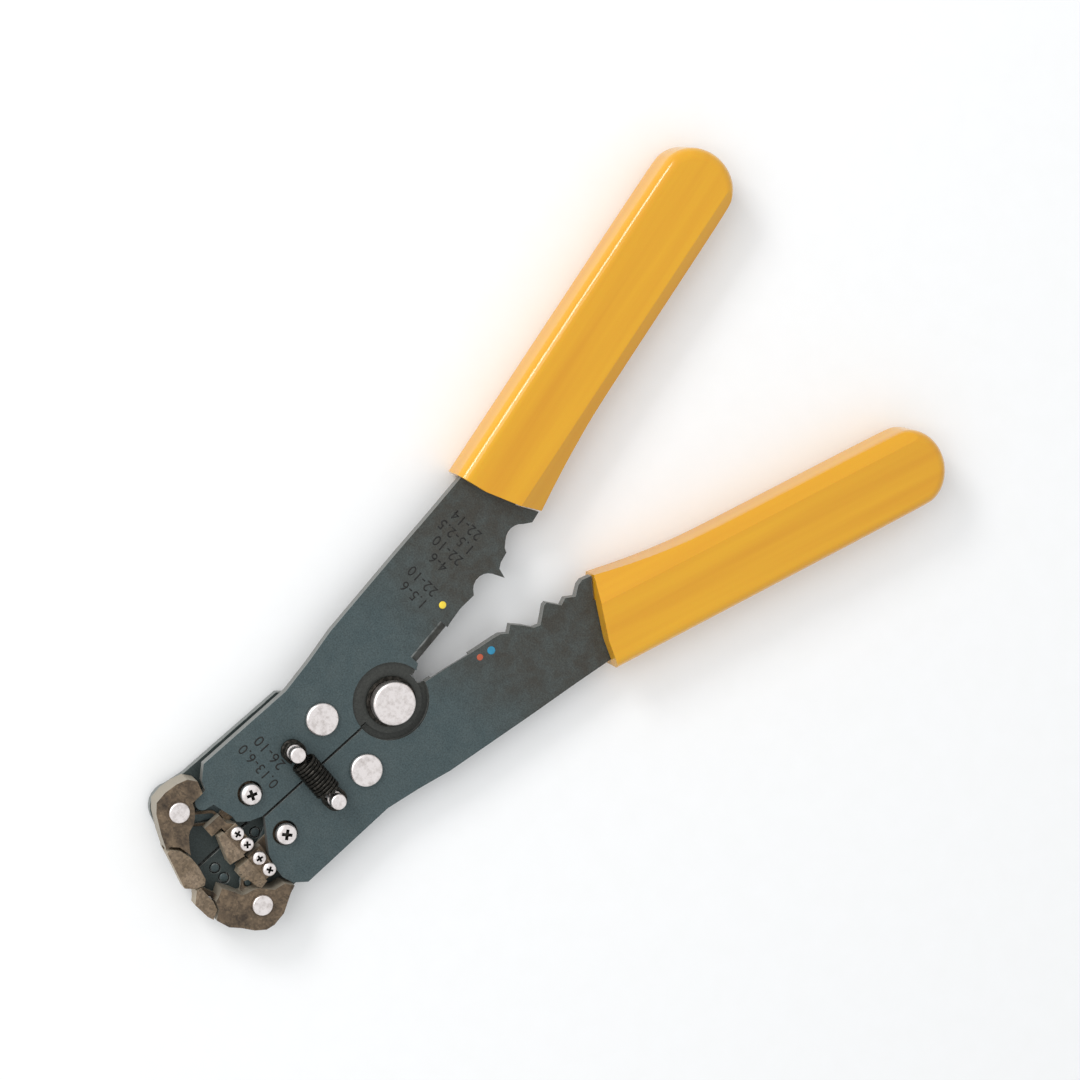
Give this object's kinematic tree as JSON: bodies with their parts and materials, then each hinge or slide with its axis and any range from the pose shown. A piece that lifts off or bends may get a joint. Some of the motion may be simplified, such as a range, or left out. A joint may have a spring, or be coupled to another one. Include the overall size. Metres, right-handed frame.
{
  "type": "wire stripper",
  "caption": "Self-adjusting wire stripper: two riveted plate halves on one pivot, clamping jaws and pads at the head, a return spring, crimp notches and a cutter, and moulded grips.",
  "frame": {"origin": "on the main pivot's axis, at the flat back end of the pivot bolt, level with the surface that the tool lies on", "axes": "+X towards the right half seen from the front, +Y from the jaws towards the grips, +Z out of the front face"},
  "size_m": [0.1028, 0.1951, 0.0143],
  "materials": {
    "blued_steel": "black oxide",
    "yellow_vinyl": "moulded, glossy",
    "plated_steel": "bright zinc",
    "sintered_steel": "sintered, dark",
    "tool_steel": "ground and tempered",
    "spring_wire": "oiled spring steel"
  },
  "bodies": {
    "left_half": {"left_handle_plate": "blued_steel", "left_back_plate": "blued_steel", "left_grip": "yellow_vinyl", "left_spacer_rivet": "plated_steel", "left_spring_post": "plated_steel", "left_jaw_rivet": "plated_steel", "left_pad_holder": "sintered_steel", "left_holder_screw": "plated_steel", "left_pad_screw_inner": "plated_steel", "left_pad_screw_outer": "plated_steel", "left_inner_blade": "tool_steel", "pivot_bolt": "plated_steel", "pivot_nut": "plated_steel", "pivot_washer": "spring_wire", "return_spring": "spring_wire"},
    "right_half": {"right_handle_plate": "blued_steel", "right_back_plate": "blued_steel", "right_grip": "yellow_vinyl", "right_spacer_rivet": "plated_steel", "right_spring_post": "plated_steel", "right_jaw_rivet": "plated_steel", "right_pad_holder": "sintered_steel", "right_holder_screw": "plated_steel", "right_pad_screw_inner": "plated_steel", "right_pad_screw_outer": "plated_steel", "right_gripper_pad": "tool_steel", "right_dowel_upper": "plated_steel", "right_dowel_left": "plated_steel", "right_dowel_right": "plated_steel"},
    "left_jaw_arm": {"left_jaw": "sintered_steel", "left_outer_pad": "tool_steel", "left_outer_pad_screw": "plated_steel"},
    "right_jaw_arm": {"right_jaw": "sintered_steel", "right_outer_pad": "tool_steel", "right_outer_pad_screw": "plated_steel"},
    "left_link": {"left_pull_link": "blued_steel"},
    "right_link": {"right_pull_link": "blued_steel"}
  },
  "joints": [
    {"name": "handle_squeeze", "type": "hinge", "parent": "left_half", "child": "right_half", "pos_m": [0, 0, 0.0069], "axis": [0, 0, 1], "range_deg": [0, 19], "stiffness_Nm_per_rad": 0.6, "springref_deg": -28.65, "deforming": ["return_spring"]},
    {"name": "left_jaw_close", "type": "hinge", "parent": "left_half", "child": "left_jaw_arm", "pos_m": [-0.0143, -0.0507, 0.0069], "axis": [0, 0, 1], "range_deg": [0, 19]},
    {"name": "right_jaw_close", "type": "hinge", "parent": "right_half", "child": "right_jaw_arm", "pos_m": [0.0143, -0.0507, 0.0069], "axis": [0, 0, 1], "range_deg": [-19, 0]},
    {"name": "left_link_swing", "type": "hinge", "parent": "right_half", "child": "left_link", "pos_m": [0.0078, -0.0141, 0.0038], "axis": [0, 0, 1], "range_deg": [-24.6, 0]},
    {"name": "right_link_swing", "type": "hinge", "parent": "left_half", "child": "right_link", "pos_m": [-0.0078, -0.0141, 0.0044], "axis": [0, 0, 1], "range_deg": [0, 24.6]}
  ],
  "couplings": [
    {"joint": "left_jaw_close", "follows": "handle_squeeze", "ratio": 1},
    {"joint": "right_jaw_close", "follows": "handle_squeeze", "ratio": -1},
    {"joint": "left_link_swing", "follows": "handle_squeeze", "ratio": -1.29},
    {"joint": "right_link_swing", "follows": "handle_squeeze", "ratio": 1.29}
  ]
}
